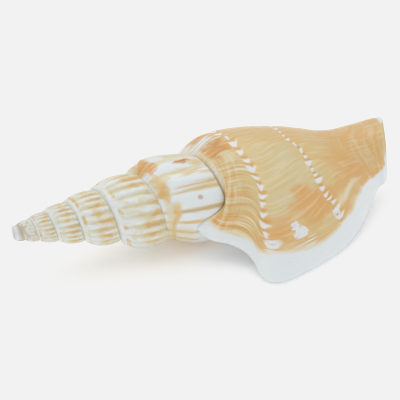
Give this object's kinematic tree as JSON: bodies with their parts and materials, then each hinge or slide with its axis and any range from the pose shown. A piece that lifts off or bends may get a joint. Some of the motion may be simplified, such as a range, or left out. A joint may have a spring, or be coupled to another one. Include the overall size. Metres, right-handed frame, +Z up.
{
  "type": "conch shell",
  "caption": "Conch shell with a tall ribbed spire, a wide flared lip and a long open aperture, lying on its aperture.",
  "frame": {"origin": "bottom centre of the shell's box as it lies on its aperture", "axes": "+X from the spire's tip towards the front end, along the coiling axis; -Y towards the flared lip; +Z up"},
  "size_m": [0.0794, 0.0326, 0.0207],
  "materials": {
    "shell": "polished shell: tan outside with white markings, white ribbed spire and lip, soft gloss"
  },
  "bodies": {
    "root": {"shell": "shell"}
  },
  "joints": []
}
